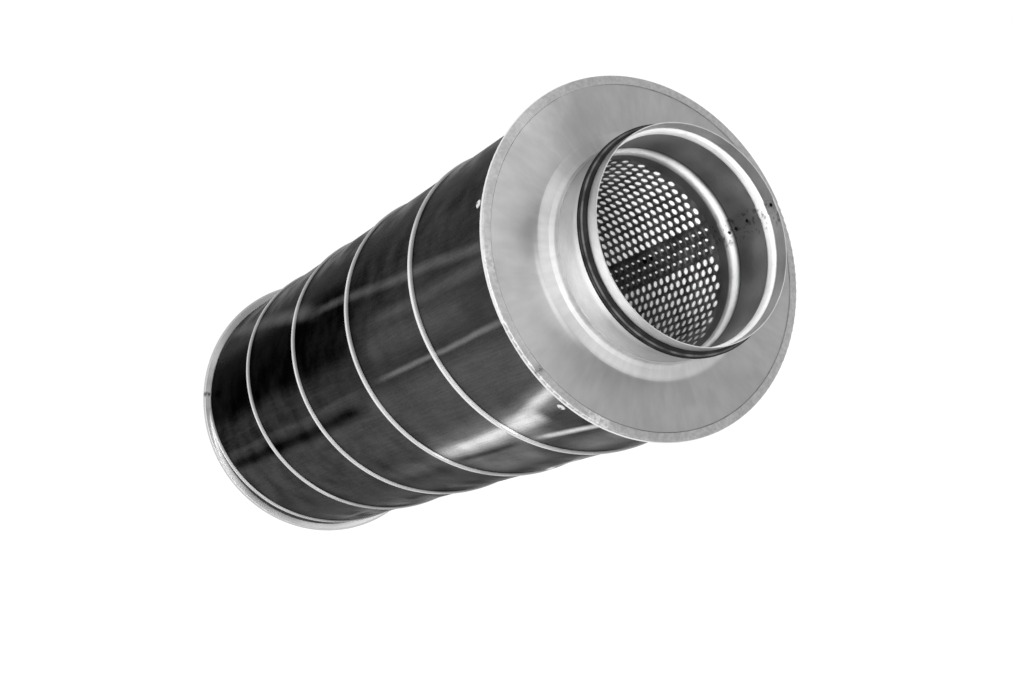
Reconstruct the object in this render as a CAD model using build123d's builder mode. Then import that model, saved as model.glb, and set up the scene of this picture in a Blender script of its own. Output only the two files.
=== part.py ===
from build123d import *
import os
from math import atan2, cos, radians, sin, tan

# Round duct sound attenuator, standing on the mouth of its lower spigot.
# Millimetres. Z runs along the duct axis, z = 0 is the lower mouth.
# Azimuth is the usual angle about Z from +X. Depth is measured from an end
# plate's outer face, positive out of the body.

# Duct connection
duct_r = 79.5
spigot_len = 55.0
spigot_sheet = 0.6
groove_bend = 1.8
mouth_band = 10.7
groove_depth = 2.0
groove_floor = 5.6
groove_flank = 1.8
spigot_lap_azimuth = 82.5
spigot_lap_deg = 7.0

# Inner end of the spigot, swaged down to carry the liner
swage_start = 0.5
swage_len = 6.0
swage_drop = 2.0
swage_bend = 14.0
tongue_len = 11.5

# Body, its length between the outer faces of the end plates
body_len = 617.0
casing_r = 127.8
casing_sheet = 0.6

# Spiral lock seam of the casing
seam_lead = 123.0
seam_below_plate = 116.5
seam_azimuth = -90.0
seam_rise = 1.7
seam_width = 6.4
seam_slope = 0.8
seam_embed = 0.3

# End caps
cap_sheet = 0.8
rim_reach = 7.4
rim_depth = 4.0
rim_step = 0.6
rim_step_out = 0.4
rim_inner_bend = 0.3
skirt_len = 26.0
neck_reach = 12.1
neck_crease = 4.2
neck_crease_h = 1.6
neck_collar = 4.0
neck_h = 7.5
neck_bend = 2.4
crease_bend = 0.6
foot_bend = 1.2
step_bend = 0.2

# Perforated liner, its lap and the punched field
liner_sheet = 0.6
liner_edge_azimuth = 93.5
liner_lap_deg = 19.0
liner_jog_deg = 3.5
hole_d = 5.5
hole_pitch = 8.25
first_hole = 22.7

# The field is punched all over; the solid carries one hole in this many
rows_kept_deg = 30.0
holes_kept = 7

# Facing fleece
fleece_thick = 1.3

# Double lip seal
seal_base = 1.4
seal_bevel = 0.8
lip_reach = 4.5
lip_lean = 1.0
lip_root = 1.2
lip_tip = 0.7
lip_spacing = 2.6

# Blind rivets through casing and cap skirt, at one end only
riveted_end = "top"
rivet_count = 5
rivet_below_plate = 21.5
rivet_past_seam = 42.65
rivet_shank_r = 1.6
rivet_head_r = 3.3
rivet_head_h = 1.3
rivet_tail_r = 2.4
rivet_tail_len = 1.8

# Clearances
slip = 0.05
rivet_slip = 0.1

# Sizes that follow
ends = ("top", "bottom")
total_len = body_len + 2 * spigot_len
plate_z = {"top": total_len - spigot_len, "bottom": spigot_len}
outward = {"top": 1, "bottom": -1}

groove_r = duct_r - groove_depth
groove_top = spigot_len - mouth_band - groove_flank
groove_low = groove_top - groove_floor
tongue_r = duct_r - swage_drop
tongue_start = swage_start - swage_len
swage_run = swage_bend * tan(atan2(swage_drop, swage_len) / 2)

casing_in_r = casing_r - casing_sheet
skirt_r = casing_in_r - slip
skirt_in_r = skirt_r - cap_sheet
rim_r = casing_r + rim_reach
rim_step_r = casing_r + rim_step_out
rim_back = rim_step - rim_depth
rim_bend = rim_depth / 2 - slip
neck_r = duct_r + slip + cap_sheet
neck_crease_r = duct_r + neck_crease
neck_outer_r = duct_r + neck_reach
casing_end = rim_inner_bend + slip - rim_back
casing_len = body_len - 2 * casing_end

liner_r = tongue_r + slip
liner_lap_r = liner_r + liner_sheet + slip
liner_end = slip + swage_run - tongue_start
liner_len = body_len - 2 * liner_end
fleece_r = liner_lap_r + liner_sheet + slip
wool_in_r = fleece_r + fleece_thick + slip
wool_end = cap_sheet + slip


def level(end, depth):
    """Height above the floor of a depth at one end."""
    return plate_z[end] + outward[end] * depth


def end_plane(end, azimuth=0.0, depth=0.0):
    """A plane through the axis: X away from the axis, Y out of the body at that end."""
    a = radians(azimuth)
    return Plane(
        origin=(0, 0, level(end, depth)),
        x_dir=(cos(a), sin(a), 0),
        z_dir=(outward[end] * sin(a), -outward[end] * cos(a), 0),
    )


def outward_plane(azimuth, z, radius):
    """A plane facing away from the axis, at a height and a radius."""
    a = radians(azimuth)
    out = (cos(a), sin(a), 0)
    return Plane(origin=(0, 0, z), x_dir=(0, 0, 1), z_dir=out).offset(radius)


def seam_azimuth_at(z):
    """Azimuth at which the seam crosses a height."""
    return seam_azimuth + 360 * (z - level("top", -seam_below_plate)) / seam_lead


def drill_rivets(hole_r, from_r, to_r):
    """Cut the rivet holes between two radii."""
    with Locations(*[outward_plane(azimuth, rivet_z, from_r) for azimuth in rivet_azimuths]):
        Cylinder(
            hole_r,
            to_r - from_r,
            align=(Align.CENTER, Align.CENTER, Align.MIN),
            mode=Mode.SUBTRACT,
        )


os.makedirs("parts", exist_ok=True)

# Rivet places, set out from the seam so that none lands on it
rivet_z = level(riveted_end, -rivet_below_plate)
first_rivet = seam_azimuth_at(rivet_z) + rivet_past_seam
rivet_azimuths = [first_rivet + 360 / rivet_count * i for i in range(rivet_count)]

# Outer casing, one strip wound into a tube with its folded seam proud outside
seam_run_in = seam_width
seam_low = level("bottom", -casing_end) - seam_run_in
seam_start = radians(seam_azimuth_at(seam_low))
seam_plane = Plane(
    origin=(0, 0, seam_low),
    x_dir=(cos(seam_start), sin(seam_start), 0),
    z_dir=(0, 0, 1),
)
seam_line = seam_plane * Helix(
    pitch=seam_lead,
    height=casing_len + 2 * seam_run_in,
    radius=casing_r - seam_embed,
)
seam_top = seam_embed + seam_rise
seam_half = seam_width / 2

with BuildPart() as outer_casing:
    with BuildSketch(Plane.XY.offset(level("bottom", -casing_end))):
        Circle(casing_r)
        Circle(casing_in_r, mode=Mode.SUBTRACT)
    extrude(amount=casing_len)
    drill_rivets(rivet_shank_r + rivet_slip, casing_in_r / 2, casing_r + seam_rise)
    seam_section = Plane(origin=seam_line @ 0, x_dir=seam_plane.x_dir, z_dir=seam_line % 0)
    with BuildSketch(seam_section):
        with BuildLine():
            FilletPolyline(
                (0, -seam_half),
                (seam_top, seam_slope - seam_half),
                (seam_top, seam_half - 2 * seam_slope),
                (seam_top - seam_rise / 2, seam_half - seam_slope),
                (0, seam_half),
                radius=seam_embed,
            )
            Line((0, seam_half), (0, -seam_half))
        make_face()
    sweep(path=seam_line, is_frenet=True)
    for end in ends:
        with BuildSketch(Plane.XY.offset(level(end, -casing_end))):
            Circle(casing_r + 2 * seam_rise)
        extrude(amount=2 * outward[end] * seam_run_in, mode=Mode.SUBTRACT)
outer_casing.part.label = "outer_casing"
export_step(outer_casing.part, "parts/outer_casing.step")

# End caps, each a pressed plate with a drawn neck, a folded rim and a skirt
for end in ends:
    with BuildPart() as end_cap:
        with BuildSketch(end_plane(end)):
            with BuildLine():
                FilletPolyline(
                    (neck_r, neck_h),
                    (neck_r, neck_collar),
                    (neck_crease_r, neck_crease_h),
                    (neck_outer_r, 0),
                    (rim_step_r - rim_step, 0),
                    (rim_step_r, rim_step),
                    (rim_r, rim_step),
                    (rim_r, rim_back),
                    (skirt_r, rim_back),
                    (skirt_r, -skirt_len),
                    radius=[
                        neck_bend,
                        crease_bend,
                        foot_bend,
                        step_bend,
                        step_bend,
                        rim_bend,
                        rim_bend,
                        rim_inner_bend,
                    ],
                )
                offset(amount=cap_sheet, side=Side.RIGHT)
            make_face()
        revolve(axis=Axis.Z)
        if end == riveted_end:
            drill_rivets(rivet_shank_r + rivet_slip, casing_in_r / 2, casing_r)
    end_cap.part.label = f"end_cap_{end}"
    export_step(end_cap.part, f"parts/end_cap_{end}.step")

# Spigots, each a rolled tube with a seal groove, a lap and a swaged inner end
for end in ends:
    with BuildPart() as spigot:
        for azimuth, arc, ply in ((0, 360, 0), (spigot_lap_azimuth, spigot_lap_deg, 1)):
            line_r = duct_r - ply * (spigot_sheet - slip)
            with BuildSketch(end_plane(end, azimuth)):
                with BuildLine():
                    FilletPolyline(
                        (line_r, spigot_len),
                        (line_r, spigot_len - mouth_band),
                        (line_r - groove_depth, groove_top),
                        (line_r - groove_depth, groove_low),
                        (line_r, groove_low - groove_flank),
                        (line_r, swage_start),
                        (line_r - swage_drop, tongue_start),
                        (line_r - swage_drop, tongue_start - tongue_len),
                        radius=[groove_bend] * 4 + [swage_bend] * 2,
                    )
                    offset(amount=spigot_sheet, side=Side.RIGHT)
                make_face()
            revolve(axis=Axis.Z, revolution_arc=arc)
    spigot.part.label = f"spigot_{end}"
    export_step(spigot.part, f"parts/spigot_{end}.step")

# Seals, each a rubber ring seated in the groove with two lips leaning back
base_low = groove_low + slip
base_top = groove_top - slip
base_in = groove_r + slip
base_out = groove_r + seal_base
lip_r = base_out + lip_reach
lip_low = (base_low + base_top - lip_spacing) / 2
lip_high = lip_low + lip_spacing
for end in ends:
    with BuildPart() as seal:
        with BuildSketch(end_plane(end)) as seal_face:
            with BuildLine():
                Polyline(
                    (base_in, base_low + seal_bevel),
                    (base_out, base_low),
                    (base_out, lip_low),
                    (lip_r, lip_low - lip_lean),
                    (lip_r, lip_low - lip_lean + lip_tip),
                    (base_out, lip_low + lip_root),
                    (base_out, lip_high),
                    (lip_r, lip_high - lip_lean),
                    (lip_r, lip_high - lip_lean + lip_tip),
                    (base_out, lip_high + lip_root),
                    (base_out, base_top),
                    (base_in, base_top - seal_bevel),
                    close=True,
                )
            make_face()
            fillet(seal_face.vertices().group_by(Axis.X)[-1], radius=lip_tip / 3)
        revolve(axis=Axis.Z)
    seal.part.label = f"seal_{end}"
    export_step(seal.part, f"parts/seal_{end}.step")

# Perforated liner, one punched sheet rolled up with its far edge behind its near one
liner_low = level("bottom", -liner_end)
wrap_deg = 360 - liner_jog_deg
lap_start = liner_edge_azimuth - wrap_deg - liner_jog_deg
kept_step = holes_kept * hole_pitch
field_len = body_len - 2 * first_hole - kept_step / 2
kept_in_row = int(field_len / kept_step) + 1
first_kept = first_hole + (field_len - (kept_in_row - 1) * kept_step) / 2
hole_planes = []
for row in range(int(360 / rows_kept_deg)):
    azimuth = liner_edge_azimuth + rows_kept_deg / 2 + row * rows_kept_deg
    stagger = (row % 2) * kept_step / 2
    for i in range(kept_in_row):
        z = level("bottom", -first_kept - i * kept_step - stagger)
        hole_planes.append(outward_plane(azimuth, z, liner_r / 2))


def liner_line(ply):
    """One face of the rolled sheet: the wrap, the jog outward and the hidden lap."""
    wrap = CenterArc((0, 0), liner_r + ply, liner_edge_azimuth, -wrap_deg)
    lap = CenterArc((0, 0), liner_lap_r + ply, lap_start, -liner_lap_deg)
    Line(wrap @ 1, lap @ 0)
    return wrap @ 0, lap @ 1


with BuildPart() as perforated_liner:
    with BuildSketch(Plane.XY.offset(liner_low)):
        with BuildLine():
            inner_start, inner_end = liner_line(0)
            outer_start, outer_end = liner_line(liner_sheet)
            Line(inner_start, outer_start)
            Line(inner_end, outer_end)
        make_face()
    extrude(amount=liner_len)
    with Locations(*hole_planes):
        Cylinder(
            hole_d / 2,
            liner_r,
            align=(Align.CENTER, Align.CENTER, Align.MIN),
            mode=Mode.SUBTRACT,
        )
perforated_liner.part.label = "perforated_liner"
export_step(perforated_liner.part, "parts/perforated_liner.step")

# Facing fleece between the liner and the wool
with BuildPart() as facing_fleece:
    with BuildSketch(Plane.XY.offset(liner_low)):
        Circle(fleece_r + fleece_thick)
        Circle(fleece_r, mode=Mode.SUBTRACT)
    extrude(amount=liner_len)
facing_fleece.part.label = "facing_fleece"
export_step(facing_fleece.part, "parts/facing_fleece.step")

# Absorbing wool, one mat wrapped round the liner and packed between the caps
with BuildPart() as absorbing_wool:
    with BuildSketch(Plane.XY.offset(level("bottom", -wool_end))):
        Circle(skirt_in_r - slip)
        Circle(wool_in_r, mode=Mode.SUBTRACT)
    extrude(amount=body_len - 2 * wool_end)
    with BuildSketch(Plane.XY.offset(level("bottom", -skirt_len - slip))):
        Circle(skirt_r)
        Circle(skirt_in_r - cap_sheet, mode=Mode.SUBTRACT)
    extrude(amount=body_len - 2 * (skirt_len + slip))
    for end in ends:
        with BuildSketch(Plane.XY.offset(level(end, -liner_end))):
            Circle(duct_r + slip)
        extrude(amount=outward[end] * liner_end, mode=Mode.SUBTRACT)
    drill_rivets(rivet_tail_r + rivet_slip, skirt_in_r - rivet_tail_len - 2 * slip, skirt_r)
absorbing_wool.part.label = "absorbing_wool"
export_step(absorbing_wool.part, "parts/absorbing_wool.step")

# Blind rivets, each one solid
tail_out = skirt_in_r - slip
head_in = casing_r + slip
dome_r = (rivet_head_r**2 + rivet_head_h**2) / (2 * rivet_head_h)
with BuildPart() as casing_rivets:
    for azimuth in rivet_azimuths:
        with BuildSketch(end_plane(riveted_end, azimuth, -rivet_below_plate)):
            with BuildLine():
                Polyline(
                    (head_in + rivet_head_h, 0),
                    (tail_out - rivet_tail_len, 0),
                    (tail_out - rivet_tail_len, rivet_tail_r),
                    (tail_out, rivet_tail_r),
                    (tail_out, rivet_shank_r),
                    (head_in, rivet_shank_r),
                    (head_in, rivet_head_r),
                )
                RadiusArc(
                    (head_in, rivet_head_r),
                    (head_in + rivet_head_h, 0),
                    dome_r,
                )
            make_face()
        out = outward_plane(azimuth, rivet_z, 0)
        revolve(axis=Axis(out.origin, out.z_dir))
casing_rivets.part.label = "casing_rivets"
export_step(casing_rivets.part, "parts/casing_rivets.step")
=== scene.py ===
import math

import bpy
from mathutils import Matrix, Vector


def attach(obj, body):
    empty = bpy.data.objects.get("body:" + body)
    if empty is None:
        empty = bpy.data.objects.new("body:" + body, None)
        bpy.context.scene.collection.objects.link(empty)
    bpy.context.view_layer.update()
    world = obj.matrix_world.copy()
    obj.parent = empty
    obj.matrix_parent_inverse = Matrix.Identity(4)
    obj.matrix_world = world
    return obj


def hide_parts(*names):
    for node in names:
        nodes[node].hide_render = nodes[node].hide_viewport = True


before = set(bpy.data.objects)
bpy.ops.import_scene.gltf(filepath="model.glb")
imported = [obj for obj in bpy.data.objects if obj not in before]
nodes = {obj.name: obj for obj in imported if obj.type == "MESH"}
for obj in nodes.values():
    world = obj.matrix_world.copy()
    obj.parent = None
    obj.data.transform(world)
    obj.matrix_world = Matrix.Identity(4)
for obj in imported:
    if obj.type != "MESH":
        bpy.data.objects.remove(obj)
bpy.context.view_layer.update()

# Camera
camera_at = (0.0, -0.6300, 1.4636)
camera_right = (0.4213, 0.7675, 0.4832)
camera_up = (-0.9068, 0.3659, 0.2094)
camera_lens = 50.2
sensor_width = 36.0
camera_shift = (-0.0009, 0.0019)

# Part sizes that the looks share with the solids, in metres and degrees.
# Degrees round the axis are counted from the side that faces -Y.
plate_top = 0.672
duct_inside_r = 0.0789
casing_r = 0.1278
seam_lead = 0.123
seam_below_plate = 0.1165
seam_half = 0.0032
rim_step_r = 0.1282
neck_outer_r = 0.0916
rivet_theta = -39.3
rivet_step = 72.0
rivet_pop_r = 0.0009
rivet_head_r = 0.0029
rivet_below_plate = 0.0215

# Perforated liner
liner_r = 0.07755
liner_lap_r = 0.0782
liner_sheet = 0.0006
liner_low = 0.06282
liner_high = 0.66418
liner_edge = math.radians(93.5)
liner_jog = math.radians(3.5)
liner_lap = math.radians(19.0)
hole_r = 0.00275
hole_pitch = 0.00825
row_step = math.radians(5.26)
first_row = math.radians(5.4)
row_count = 71
first_hole = 0.0227
holes_in_row = 70
hole_sides = 12

# Places on a spigot, in millimetres above its plate
swage_low = -8.5
swage_high = 3.6
groove_low = 36.5
groove_high = 45.6
tip = 54.5

# Floor and light
floor_size = 6.0
floor_grey = 0.9
floor_glow = 0.85
glow_strength = 1.06
world_fill = 0.7
lamps_at = (0.10, -0.70, 1.65)
fill_lamp_size = 0.5
fill_lamp_watts = 26.0
shine_lamp_size = 0.9
shine_lamp_watts = 9.0


def link(name, data):
    """An object in the scene for its data."""
    obj = bpy.data.objects.new(name, data)
    bpy.context.scene.collection.objects.link(obj)
    return obj


# Camera and view
camera = link("camera", bpy.data.cameras.new("camera"))
right = Vector(camera_right).normalized()
back = right.cross(Vector(camera_up)).normalized()
up = back.cross(right)
camera.matrix_world = Matrix.Translation(camera_at) @ Matrix((right, up, back)).transposed().to_4x4()
camera.data.lens = camera_lens
camera.data.sensor_width = sensor_width
camera.data.shift_x = camera_shift[0]
camera.data.shift_y = camera_shift[1]
camera.data.clip_start = 0.01
camera.data.clip_end = 50.0
bpy.context.scene.camera = camera
bpy.context.scene.view_settings.view_transform = "Standard"


# Perforated liner
def sheet_point(s, z, ply):
    """The point at an angle s along the rolled sheet from its front edge, at a height."""
    wrap = 2 * math.pi - liner_jog
    over = min(max((s - wrap) / liner_jog, 0.0), 1.0)
    r = liner_r + over * (liner_lap_r - liner_r) + ply
    a = liner_edge - s
    return (r * math.cos(a), r * math.sin(a), z)


class Sheet:
    """The mesh of a stretch of the liner, built face by face with shared corners."""

    def __init__(self):
        self.verts = []
        self.faces = []
        self.smooth = []
        self.index = {}

    def corner(self, s, z, ply):
        key = (round(s, 6), round(z, 7), ply)
        if key not in self.index:
            self.index[key] = len(self.verts)
            self.verts.append(sheet_point(s, z, ply))
        return self.index[key]

    def skin(self, outline):
        """One face on each side of the sheet."""
        inside = [self.corner(s, z, 0.0) for s, z in outline]
        outside = [self.corner(s, z, liner_sheet) for s, z in outline]
        self.faces += [inside[::-1], outside]
        self.smooth += [True, True]

    def cut(self, places):
        """A strip across the sheet's thickness along a run of places."""
        for first, second in zip(places, places[1:]):
            a, b = [self.corner(*place, 0.0) for place in (second, first)]
            c, d = [self.corner(*place, liner_sheet) for place in (first, second)]
            self.faces.append([a, b, c, d])
            self.smooth.append(False)

    def mesh(self, name):
        mesh = bpy.data.meshes.new(name)
        mesh.from_pydata(self.verts, [], self.faces)
        mesh.polygons.foreach_set("use_smooth", self.smooth)
        mesh.validate()
        mesh.update()
        return mesh


def hole_cell(sheet, centre, z, left, right_side):
    """The sheet round one punched hole and the hole's own wall."""
    ring = []
    for k in range(hole_sides):
        t = 2 * math.pi * k / hole_sides
        ring.append((centre + hole_r * math.sin(t) / liner_r, z + hole_r * math.cos(t)))
    hi = z + hole_pitch / 2
    lo = z - hole_pitch / 2
    border = [
        (centre, hi),
        (right_side, hi),
        (right_side, z),
        (right_side, lo),
        (centre, lo),
        (left, lo),
        (left, z),
        (left, hi),
    ]
    # The corners of the hole that each stretch of the border is joined to
    spans = [(0, 2), (2, 3), (3, 4), (4, 6), (6, 8), (8, 9), (9, 10), (10, 12)]
    for b, (start, end) in enumerate(spans):
        outline = [border[b], border[(b + 1) % len(border)]]
        outline += [ring[k % hole_sides] for k in range(end, start - 1, -1)]
        sheet.skin(outline)
    sheet.cut(ring + ring[:1])


def liner_part(rows):
    """A stretch of the sheet, row by row of punched holes."""
    sheet = Sheet()
    half_pitch = hole_pitch / 2
    field_high = plate_top - first_hole + half_pitch
    levels = [field_high - k * half_pitch for k in range(2 * holes_in_row + 2)]
    levels = [liner_high] + levels + [liner_low]
    for row in rows:
        centre = first_row + row * row_step
        left = 0.0 if row == 0 else centre - row_step / 2
        right_side = centre + row_step / 2
        if row == row_count - 1:
            right_side = 2 * math.pi + liner_lap
        start = 1 + row % 2
        for z in levels[start + 1:start + 2 * holes_in_row:2]:
            hole_cell(sheet, centre, z, left, right_side)
        for margin in (levels[:start + 1], levels[start + 2 * holes_in_row:]):
            outline = [(centre, margin[0])]
            outline += [(right_side, z) for z in margin]
            outline += [(centre, margin[-1])]
            outline += [(left, z) for z in reversed(margin)]
            sheet.skin(outline)
        sheet.cut([(right_side, liner_high), (centre, liner_high), (left, liner_high)])
        sheet.cut([(left, liner_low), (centre, liner_low), (right_side, liner_low)])
        if row == rows[0]:
            sheet.cut([(left, z) for z in levels])
        if row == rows[-1]:
            sheet.cut([(right_side, z) for z in reversed(levels)])
    return sheet


# Materials
def tone(level):
    """The brightness that shows as a grey level of 0 to 255."""
    v = level / 255
    return v / 12.92 if v <= 0.04045 else ((v + 0.055) / 1.055) ** 2.4


class Look:
    """A material's nodes, built up from the object's own coordinates."""

    def __init__(self, name, metal=True, glance=1.0):
        self.material = bpy.data.materials.new(name)
        self.material.use_nodes = True
        self.tree = self.material.node_tree
        self.shader = self.tree.nodes["Principled BSDF"]
        self.shader.inputs["Metallic"].default_value = 1.0 if metal else 0.0
        if metal:
            self.shader.inputs["Specular Tint"].default_value = (glance, glance, glance, 1)
        self.point = self.add("ShaderNodeTexCoord").outputs["Object"]
        split = self.add("ShaderNodeSeparateXYZ")
        self.tree.links.new(self.point, split.inputs[0])
        x, y, z = split.outputs
        self.z = z
        self.r = self.apart(x, y)
        turn = self.math("ARCTAN2", x, self.math("MULTIPLY", y, -1.0))
        self.theta = self.math("DEGREES", turn)
        self.depth = self.math("MULTIPLY", self.math("SUBTRACT", plate_top, z), 1000.0)

    def add(self, kind):
        return self.tree.nodes.new(kind)

    def put(self, socket, value):
        if isinstance(value, bpy.types.NodeSocket):
            self.tree.links.new(value, socket)
        else:
            socket.default_value = value

    def math(self, operation, a, b=0.0):
        node = self.add("ShaderNodeMath")
        node.operation = operation
        self.put(node.inputs[0], a)
        self.put(node.inputs[1], b)
        return node.outputs[0]

    def apart(self, across, along):
        """The distance that two differences at right angles make."""
        squares = [self.math("MULTIPLY", side, side) for side in (across, along)]
        return self.math("SQRT", self.math("ADD", *squares))

    def both(self, a, b):
        return self.math("MULTIPLY", a, b)

    def patch(self, radius, angle, along, centre, size, core):
        """A round patch on a tube, its place and size in millimetres along and degrees round."""
        across = self.both(self.math("SUBTRACT", self.theta, angle), math.radians(1000 * radius))
        away = self.apart(across, self.math("SUBTRACT", along, centre))
        return self.ramp(away, size, size * core)

    def ramp(self, value, start, end, low=0.0, high=1.0):
        """A smooth step from low to high as the value goes from start to end."""
        node = self.add("ShaderNodeMapRange")
        node.interpolation_type = "SMOOTHSTEP"
        self.put(node.inputs["Value"], value)
        node.inputs["From Min"].default_value = min(start, end)
        node.inputs["From Max"].default_value = max(start, end)
        self.put(node.inputs["To Min"], low if start < end else high)
        self.put(node.inputs["To Max"], high if start < end else low)
        return node.outputs["Result"]

    def ridge(self, value, centre, half, peak=1.0):
        """A smooth hump round a centre."""
        away = self.math("ABSOLUTE", self.math("SUBTRACT", value, centre))
        return self.ramp(away, half, 0.0, 0.0, peak)

    def plateau(self, value, start, end, soft, peak=1.0):
        """A flat stretch between two values with soft ends."""
        rise = self.ramp(value, start, start + soft, 0.0, peak)
        return self.math("MULTIPLY", rise, self.ramp(value, end, end - soft))

    def noise(self, scale, detail=3.0, stretch=(1.0, 1.0, 1.0), around=False):
        """Noise in the object's own coordinates, or laid out round the axis."""
        if around:
            join = self.add("ShaderNodeCombineXYZ")
            self.put(join.inputs[0], self.math("MULTIPLY", self.theta, stretch[0] / 360))
            self.put(join.inputs[1], self.math("MULTIPLY", self.z, stretch[1]))
            self.put(join.inputs[2], self.math("MULTIPLY", self.r, stretch[2]))
            place = join.outputs[0]
        else:
            scaled = self.add("ShaderNodeVectorMath")
            scaled.operation = "MULTIPLY"
            self.put(scaled.inputs[0], self.point)
            scaled.inputs[1].default_value = stretch
            place = scaled.outputs[0]
        node = self.add("ShaderNodeTexNoise")
        self.put(node.inputs["Vector"], place)
        node.inputs["Scale"].default_value = scale
        node.inputs["Detail"].default_value = detail
        return node.outputs[0]

    def mix(self, amount, a, b):
        """From a to b by an amount of 0 to 1."""
        node = self.add("ShaderNodeMix")
        self.put(node.inputs[0], amount)
        self.put(node.inputs[2], a)
        self.put(node.inputs[3], b)
        return node.outputs[0]

    def vary(self, value, noise, share):
        """The value made up to a share brighter or darker by noise."""
        swing = self.ramp(noise, 0.25, 0.75, 1.0 - share, 1.0 + share)
        return self.math("MULTIPLY", value, swing)

    def finish(self, brightness, rough, bump_from=None, bump=0.0, bump_depth=0.0002):
        join = self.add("ShaderNodeCombineXYZ")
        for socket in join.inputs:
            self.put(socket, brightness)
        self.tree.links.new(join.outputs[0], self.shader.inputs["Base Color"])
        self.put(self.shader.inputs["Roughness"], rough)
        if bump_from is not None:
            node = self.add("ShaderNodeBump")
            node.inputs["Strength"].default_value = bump
            node.inputs["Distance"].default_value = bump_depth
            self.put(node.inputs["Height"], bump_from)
            self.tree.links.new(node.outputs[0], self.shader.inputs["Normal"])
        return self.material


# Casing: dark sheet with painted reflections as lengthwise streaks, and seams made bright by a painted
# highlight
def casing_look():
    g = Look("casing sheet", glance=0.32)
    wobble = g.noise(9.0, 2.0)
    theta = g.math("ADD", g.theta, g.ramp(wobble, 0.3, 0.7, -0.6, 0.6))
    # Painted reflections: the sheet's grey changes with the angle round the axis, with darker and
    # paler painted reflections in patches
    level = g.mix(g.ramp(theta, 0.0, 8.0), tone(68), tone(88))
    level = g.mix(g.ramp(theta, 52.0, 66.0), level, tone(58))
    level = g.mix(g.ramp(g.math("ABSOLUTE", g.theta), 105.0, 150.0), level, tone(58))
    painted_dark_reflection_left = g.both(g.plateau(theta, -46.0, -8.0, 9.0), g.ramp(g.depth, 190.0, 300.0))
    level = g.mix(painted_dark_reflection_left, level, tone(40))
    painted_dark_reflection_right = g.both(g.plateau(theta, 57.0, 92.0, 8.0), g.plateau(g.depth, 235.0, 700.0, 40.0))
    level = g.mix(painted_dark_reflection_right, level, tone(10))
    painted_pale_reflection_left = g.both(g.plateau(theta, -104.0, -30.0, 14.0), g.ramp(g.depth, 250.0, 120.0))
    level = g.mix(painted_pale_reflection_left, level, tone(80))
    # Painted reflections as lengthwise streaks: angle at the near plate, degrees gained per mm of
    # depth, half width, depths, grey level
    painted_reflections = [
        (-24.0, -0.042, 3.0, -20.0, 345.0, 100),
        (-13.0, -0.076, 5.5, 300.0, 650.0, 108),
        (-19.0, -0.005, 4.0, -20.0, 230.0, 90),
        (-10.0, -0.010, 9.0, 30.0, 250.0, 86),
        (-0.5, 0.003, 1.6, -20.0, 240.0, 118),
        (0.5, 0.004, 2.2, 225.0, 640.0, 84),
        (-5.0, 0.000, 1.6, 250.0, 640.0, 72),
        (6.5, 0.003, 5.0, 235.0, 640.0, 48),
        (37.0, 0.008, 15.0, 40.0, 250.0, 150),
        (25.0, 0.100, 7.5, -20.0, 112.0, 150),
        (58.0, -0.010, 12.0, -20.0, 104.0, 140),
        (24.0, 0.110, 3.2, -20.0, 104.0, 225),
        (32.5, 0.022, 5.5, 44.0, 110.0, 240),
        (47.5, -0.045, 2.2, -20.0, 100.0, 245),
        (35.0, 0.008, 5.0, 92.0, 240.0, 225),
        (34.2, 0.009, 2.8, 92.0, 200.0, 255),
        (38.5, 0.004, 6.0, 220.0, 340.0, 110),
        (42.5, 0.000, 2.6, 104.0, 230.0, 84),
        (52.0, 0.000, 12.0, 100.0, 232.0, 135),
        (51.0, 0.000, 8.0, 222.0, 420.0, 98),
        (57.0, 0.110, 3.0, 120.0, 240.0, 250),
        (64.0, 0.110, 8.0, 90.0, 215.0, 205),
        (66.0, 0.060, 2.0, 270.0, 330.0, 150),
        (52.0, 0.018, 2.4, 470.0, 570.0, 130),
        (-76.0, 0.000, 6.0, -20.0, 650.0, 84),
        (-112.0, 0.006, 14.0, -20.0, 420.0, 112),
        (-104.0, -0.020, 3.0, 200.0, 650.0, 96),
        (-134.0, -0.012, 3.0, -20.0, 360.0, 128),
        (-141.0, 0.004, 10.0, 160.0, 650.0, 30),
        (-163.0, 0.010, 16.0, -20.0, 330.0, 120),
        (-159.0, 0.000, 4.0, 240.0, 650.0, 92),
        (106.0, 0.010, 6.0, 80.0, 480.0, 100),
        (124.0, -0.003, 12.0, -20.0, 650.0, 92),
        (131.0, 0.030, 2.6, 110.0, 330.0, 150),
        (144.0, 0.004, 7.0, -20.0, 650.0, 34),
        (160.0, 0.002, 6.0, -20.0, 300.0, 130),
        (165.0, -0.010, 3.0, 260.0, 650.0, 104),
    ]
    for angle, lean, half, start, end, grey in painted_reflections:
        line = g.math("ADD", g.both(g.depth, lean), angle)
        across = g.ridge(g.math("SUBTRACT", theta, line), 0.0, half)
        along = g.plateau(g.depth, start, end, min(60.0, (end - start) / 4))
        level = g.mix(g.both(across, along), level, tone(grey))
    fine = g.noise(3.0, 4.0, (220.0, 14.0, 1.0), around=True)
    level = g.vary(level, fine, 0.10)
    cloud = g.noise(38.0, 5.0)
    level = g.vary(level, cloud, 0.13)
    specks = g.noise(700.0, 2.0)
    level = g.vary(level, specks, 0.10)
    # How far each point is from the nearest turn of the seam
    turns = g.math("DIVIDE", g.theta, 360.0)
    height = g.math("SUBTRACT", g.z, plate_top - seam_below_plate)
    winds = g.math("SUBTRACT", g.math("DIVIDE", height, seam_lead), turns)
    off = g.both(g.math("PINGPONG", winds, 0.5), seam_lead)
    seam = g.ramp(off, seam_half + 0.0006, seam_half - 0.0014)
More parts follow.
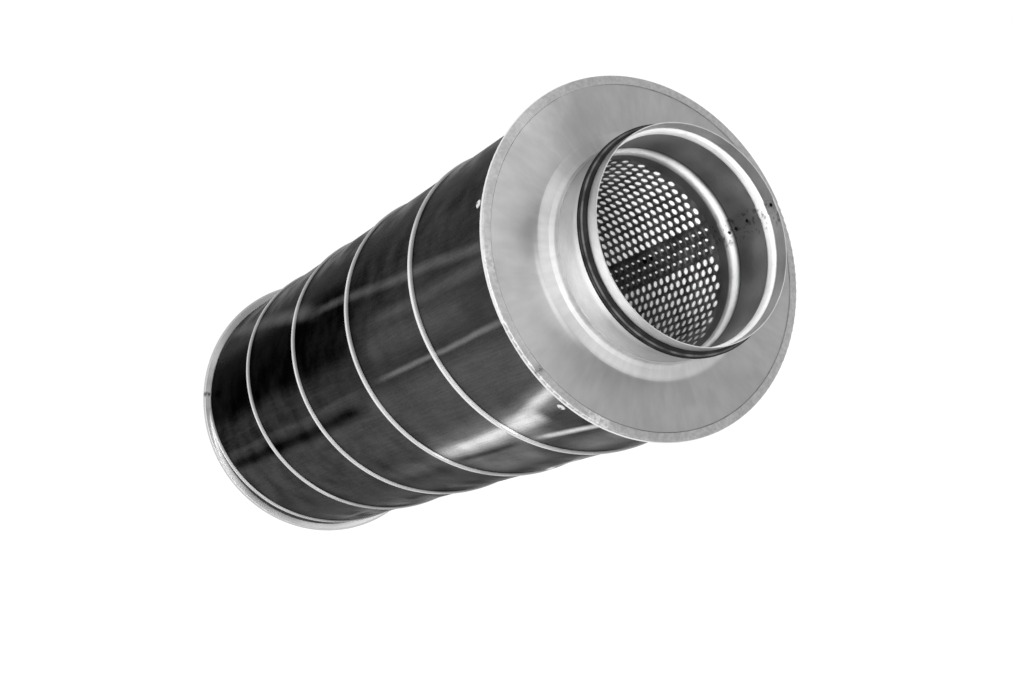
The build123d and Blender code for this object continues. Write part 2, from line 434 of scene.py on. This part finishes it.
    # Painted highlight on the seam's ridge, brightest along its middle
    seam_highlight_level = g.vary(g.mix(g.ramp(off, 0.0006, seam_half), tone(252), tone(170)), cloud, 0.06)
    level = g.mix(seam, level, seam_highlight_level)
    rough = g.math("ADD", g.ramp(cloud, 0.3, 0.7, 0.24, 0.42), g.both(seam, 0.05))
    return g.finish(level, rough, specks, 0.04)


# End caps: cloudy zinc with painted reflections that make it brighter to the left, painted light and
# shade on the neck, a worn near rim and a painted highlight on the far rim
def cap_look(name):
    g = Look(name)
    cloud = g.noise(24.0, 5.0)
    radial = g.noise(4.0, 4.0, (26.0, 2.0, 14.0), around=True)
    theta = g.math("ADD", g.theta, g.ramp(cloud, 0.3, 0.7, -9.0, 9.0))
    # Painted reflections: the grey by angle round the axis, brightest from -66 to -10 degrees
    level = g.mix(g.ramp(theta, -10.0, 60.0), tone(186), tone(155))
    level = g.mix(g.ramp(theta, 96.0, 140.0), level, tone(158))
    level = g.mix(g.ramp(theta, -66.0, -96.0), level, tone(158))
    # Painted highlights on the cone and the foot of the neck, towards the front
    inner = g.ramp(g.r, 0.118, 0.094)
    cone_highlight = g.both(g.ridge(theta, -3.0, 26.0), inner)
    level = g.mix(g.both(cone_highlight, 0.3), level, tone(215))
    foot_highlight = g.both(g.plateau(g.r, 0.0900, 0.0965, 0.0025), g.ridge(g.theta, -3.0, 34.0))
    level = g.mix(g.both(foot_highlight, 0.6), level, tone(240))
    # Painted light and shade on the neck: lighter towards the front, darker near -84 degrees
    neck = g.ramp(g.r, neck_outer_r + 0.002, neck_outer_r - 0.003)
    neck_painted_shading = g.mix(g.ridge(g.theta, -15.0, 110.0), tone(194), tone(210))
    neck_painted_shading = g.mix(g.ridge(g.theta, -84.0, 36.0), neck_painted_shading, tone(158))
    level = g.mix(neck, level, neck_painted_shading)
    level = g.vary(level, radial, 0.06)
    level = g.vary(level, cloud, 0.10)
    # Rim outside the pressed step: a painted highlight on the far rim and a worn near rim
    specks = g.noise(420.0, 4.0)
    rim = g.ramp(g.r, rim_step_r - 0.0002, rim_step_r + 0.0004)
    far = g.both(rim, g.ramp(g.z, 0.2, 0.1))
    near = g.both(rim, g.ramp(g.z, 0.3, 0.4))
    far_rim_highlight = g.mix(g.ramp(g.r, 0.1325, 0.1338), tone(250), tone(196))
    level = g.mix(far, level, g.mix(g.ramp(g.theta, -40.0, -75.0), far_rim_highlight, tone(172)))
    worn = g.mix(g.ramp(specks, 0.3, 0.7), tone(152), tone(200))
    level = g.mix(g.both(near, 0.35), level, worn)
    # Painted light and shade on the pressed step's line: light between -90 and 30 degrees, dark beyond
    groove = g.ridge(g.r, rim_step_r - 0.0003, 0.0007)
    groove_lit_side = g.ramp(g.math("ABSOLUTE", g.math("ADD", g.theta, 30.0)), 90.0, 60.0)
    groove_painted_shading = g.mix(groove_lit_side, tone(96), tone(214))
    level = g.mix(g.both(groove, g.ramp(radial, 0.4, 0.65, 0.15, 0.6)), level, groove_painted_shading)
    # Marks: on the near or far rim, angle, half width, grey level, share
    marks = [
        (near, 17.0, 2.2, 60, 0.75),
        (near, 41.0, 7.0, 226, 0.6),
        (near, -18.0, 9.0, 226, 0.5),
        (far, -28.0, 1.7, 60, 0.9),
    ]
    for where, angle, half, grey, share in marks:
        mark = g.both(g.ridge(g.theta, angle, half), where)
        patchy = g.both(mark, g.ramp(specks, 0.42, 0.56, 0.3 * share, share))
        level = g.mix(patchy, level, tone(grey))
    # Painted highlight on the near rim's outer edge
    level = g.mix(g.both(near, g.ramp(g.r, 0.1344, 0.1350)), level, tone(236))
    rough = g.math("ADD", g.ramp(cloud, 0.3, 0.7, 0.34, 0.5), g.both(neck, 0.2))
    return g.finish(level, rough, specks, 0.06)


# Spigots: bright bands by height that are painted highlights, a lap with weld spots
def spigot_look(name):
    g = Look(name)
    h = g.both(g.depth, -1.0)
    cloud = g.noise(30.0, 5.0)
    fine = g.noise(3.0, 3.0, (40.0, 700.0, 60.0), around=True)
    # Outside: painted highlights, brightest towards the front, on the wall, on the band at the tip and
    # on a strip below the seal
    face = g.mix(g.ridge(g.theta, 0.0, 90.0), tone(178), tone(218))
    tip_band_highlight = g.mix(g.ridge(g.theta, 4.0, 90.0), tone(172), tone(250))
    outside = g.mix(g.ramp(h, 42.0, 43.5), face, tip_band_highlight)
    strip = g.both(g.plateau(h, 24.0, 37.0, 5.0), g.ridge(g.theta, 3.0, 68.0))
    outside = g.mix(strip, outside, tone(246))
    # Inside: painted shade, darker deeper in the bore and lighter near the mouth; painted highlights
    # on the rolled groove and on the swage, with a line of painted shadow beside the swage
    inside = g.mix(g.ramp(h, 34.0, 4.0), tone(178), tone(156))
    inside = g.mix(g.ramp(h, 44.0, 48.0), inside, tone(200))
    inside = g.mix(g.plateau(h, groove_low, groove_high, 1.2), inside, tone(252))
    inside = g.mix(g.plateau(h, swage_low, swage_high, 2.4), inside, tone(250))
    inside = g.mix(g.ridge(h, swage_high + 0.5, 0.5), inside, tone(40))
    inside = g.mix(g.ramp(h, swage_low + 0.9, swage_low - 0.5), inside, tone(140))
    lap = g.plateau(g.theta, 164.0, 182.0, 4.0)
    blots = g.ramp(g.noise(260.0, 3.0), 0.52, 0.68)
    inside = g.mix(g.both(g.both(lap, blots), 0.55), inside, tone(40))
    # Weld spots: angle, height, radius
    spots = [(174.5, 22.0, 2.0), (173.0, 8.0, 2.2), (176.8, 51.0, 2.2), (172.5, 0.0, 1.8)]
    for angle, height, size in spots:
        inside = g.mix(g.patch(duct_inside_r, angle, h, height, size, 0.4), inside, tone(16))
    outer = g.ramp(g.r, duct_inside_r + 0.0001, duct_inside_r + 0.0003)
    level = g.mix(outer, inside, outside)
    level = g.mix(g.ramp(h, tip, tip + 0.4), level, tone(205))
    level = g.vary(level, fine, 0.07)
    level = g.vary(level, cloud, 0.11)
    rough = g.vary(g.mix(outer, 0.6, 0.32), cloud, 0.15)
    # Rounding of the rolled groove and of the swage
    swell = g.math("ADD", g.ramp(h, 43.5, 37.0, 0.0, 0.0022), g.ramp(h, 2.5, -5.5, 0.0, 0.0024))
    swell = g.both(swell, g.math("SUBTRACT", 1.0, outer))
    surface = g.math("ADD", swell, g.both(fine, 0.00001))
    return g.finish(level, rough, surface, 1.0, 1.0)


# Liner: dark zinc with stains
def liner_look():
    g = Look("liner sheet")
    cloud = g.noise(60.0, 5.0)
    level = g.vary(g.mix(g.ramp(g.depth, 15.0, 120.0), tone(150), tone(140)), cloud, 0.35)
    # Stains: angle, depth, radius
    for angle, depth, size in ((-175.7, 16.0, 3.0), (177.9, 97.0, 3.0), (177.9, 106.0, 3.2)):
        level = g.mix(g.patch(liner_r, angle, g.depth, depth, size, 0.5), level, tone(12))
    return g.finish(level, g.ramp(cloud, 0.3, 0.7, 0.55, 0.68), cloud, 0.08)


# Seals: black rubber with dust, the lips lighter by dust and a painted highlight
def rubber_look():
    g = Look("seal rubber", metal=False)
    g.shader.inputs["Specular IOR Level"].default_value = 0.15
    dust = g.noise(90.0, 4.0)
    level = g.mix(g.ramp(dust, 0.45, 0.8), tone(14), tone(30))
    # Dust and a painted highlight along the lips
    lip_dust_and_sheen = g.plateau(g.r, 0.0810, 0.0829, 0.0007)
    level = g.mix(g.both(lip_dust_and_sheen, g.ramp(dust, 0.3, 0.65, 0.1, 0.7)), level, tone(84))
    fine = g.noise(4.0, 3.0, (60.0, 900.0, 300.0), around=True)
    return g.finish(level, g.ramp(dust, 0.3, 0.7, 0.38, 0.55), fine, 0.1)


# Fleece and wool: soft, fibrous
def fibre_look(name, dark, light, scale, bump):
    g = Look(name, metal=False)
    tangle = g.noise(scale, 6.0)
    clump = g.noise(scale / 12, 3.0)
    level = g.vary(g.mix(g.ramp(tangle, 0.35, 0.65), tone(dark), tone(light)), clump, 0.05)
    return g.finish(level, 0.95, tangle, bump, 0.0006)


# Rivets: bright aluminium heads, each with a dark spot of painted shade for the hole in its middle and
# painted shade round its edge
def rivet_look():
    g = Look("rivet aluminium")
    dents = g.noise(500.0, 3.0)
    turn = g.math("SUBTRACT", g.theta, rivet_theta - rivet_step / 2)
    beside = g.math("SUBTRACT", g.math("FLOORED_MODULO", turn, rivet_step), rivet_step / 2)
    along = g.math("SUBTRACT", g.z, plate_top - rivet_below_plate)
    away = g.apart(g.both(beside, math.radians(casing_r)), along)
    # Painted shade: a dark spot for the shadow in the hole in the middle of each head
    level = g.mix(g.ramp(away, rivet_pop_r + 0.0002, rivet_pop_r - 0.0002), tone(222), tone(60))
    # Painted shade round the edge of each head
    level = g.mix(g.ramp(away, rivet_head_r - 0.0003, rivet_head_r + 0.0003), level, tone(120))
    level = g.vary(level, dents, 0.15)
    return g.finish(level, g.ramp(dents, 0.3, 0.7, 0.2, 0.4), dents, 0.15)


def wear(obj, material):
    obj.data.materials.clear()
    obj.data.materials.append(material)


cap_material = cap_look("cap sheet")
spigot_material = spigot_look("spigot sheet")
rubber = rubber_look()
for name, material in {
    "outer_casing": casing_look(),
    "end_cap_top": cap_material,
    "end_cap_bottom": cap_material,
    "spigot_top": spigot_material,
    "spigot_bottom": spigot_material,
    "seal_top": rubber,
    "seal_bottom": rubber,
    "facing_fleece": fibre_look("fleece", 222, 246, 900.0, 0.3),
    "absorbing_wool": fibre_look("wool", 180, 215, 400.0, 0.6),
    "casing_rivets": rivet_look(),
}.items():
    wear(nodes[name], material)

liner_material = liner_look()
middle_row = row_count // 2
for i, rows in enumerate((range(middle_row), range(middle_row, row_count))):
    name = f"liner_sheet_{i + 1}"
    piece = link(name, liner_part(rows).mesh(name))
    wear(piece, liner_material)
    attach(piece, "root")
    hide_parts("perforated_liner")

# Floor, seen as a white ground with the object's shadow
half = floor_size / 2
floor_corners = [(-half, -half, 0), (half, -half, 0), (half, half, 0), (-half, half, 0)]
floor_mesh = bpy.data.meshes.new("floor")
floor_mesh.from_pydata(floor_corners, [], [(0, 1, 2, 3)])
floor = link("floor", floor_mesh)
ground = bpy.data.materials.new("floor")
ground.use_nodes = True
tree = ground.node_tree
surface = tree.nodes["Principled BSDF"]
surface.inputs["Base Color"].default_value = (floor_grey, floor_grey, floor_grey, 1)
surface.inputs["Roughness"].default_value = 0.9
surface.inputs["Specular IOR Level"].default_value = 0.0


def seen_directly(tree):
    """1 for camera, mirror and see-through rays, 0 for the light that falls on things."""
    path = tree.nodes.new("ShaderNodeLightPath")
    total = path.outputs["Is Camera Ray"]
    for name in ("Is Glossy Ray", "Is Transmission Ray"):
        node = tree.nodes.new("ShaderNodeMath")
        node.operation = "MAXIMUM"
        tree.links.new(total, node.inputs[0])
        tree.links.new(path.outputs[name], node.inputs[1])
        total = node.outputs[0]
    return total


glow = tree.nodes.new("ShaderNodeEmission")
glow.inputs["Color"].default_value = (1, 1, 1, 1)
glow.inputs["Strength"].default_value = glow_strength
share = tree.nodes.new("ShaderNodeMath")
share.operation = "MULTIPLY"
share.inputs[1].default_value = floor_glow
tree.links.new(seen_directly(tree), share.inputs[0])
mix = tree.nodes.new("ShaderNodeMixShader")
tree.links.new(share.outputs[0], mix.inputs["Fac"])
tree.links.new(surface.outputs[0], mix.inputs[1])
tree.links.new(glow.outputs[0], mix.inputs[2])
tree.links.new(mix.outputs[0], tree.nodes["Material Output"].inputs["Surface"])
wear(floor, ground)

# World
world = bpy.data.worlds.new("world")
bpy.context.scene.world = world
world.use_nodes = True
tree = world.node_tree
background = tree.nodes["Background"]
background.inputs["Color"].default_value = (1, 1, 1, 1)
strength = tree.nodes.new("ShaderNodeMapRange")
strength.inputs["To Min"].default_value = world_fill
tree.links.new(seen_directly(tree), strength.inputs["Value"])
tree.links.new(strength.outputs["Result"], background.inputs["Strength"])


# Lamps
def lamp(name, size, watts):
    """A soft lamp behind the camera, aimed at the near end."""
    data = bpy.data.lights.new(name, "AREA")
    data.size = size
    data.energy = watts
    aim = Vector((0.0, 0.0, plate_top)) - Vector(lamps_at)
    obj = link(name, data)
    obj.matrix_world = Matrix.Translation(lamps_at) @ aim.to_track_quat("-Z", "Y").to_matrix().to_4x4()
    return obj


# One lamp fills the bore and is not mirrored in the metal, the other gives the metal its shine
lamp("fill lamp", fill_lamp_size, fill_lamp_watts).visible_glossy = False
lamp("shine lamp", shine_lamp_size, shine_lamp_watts)
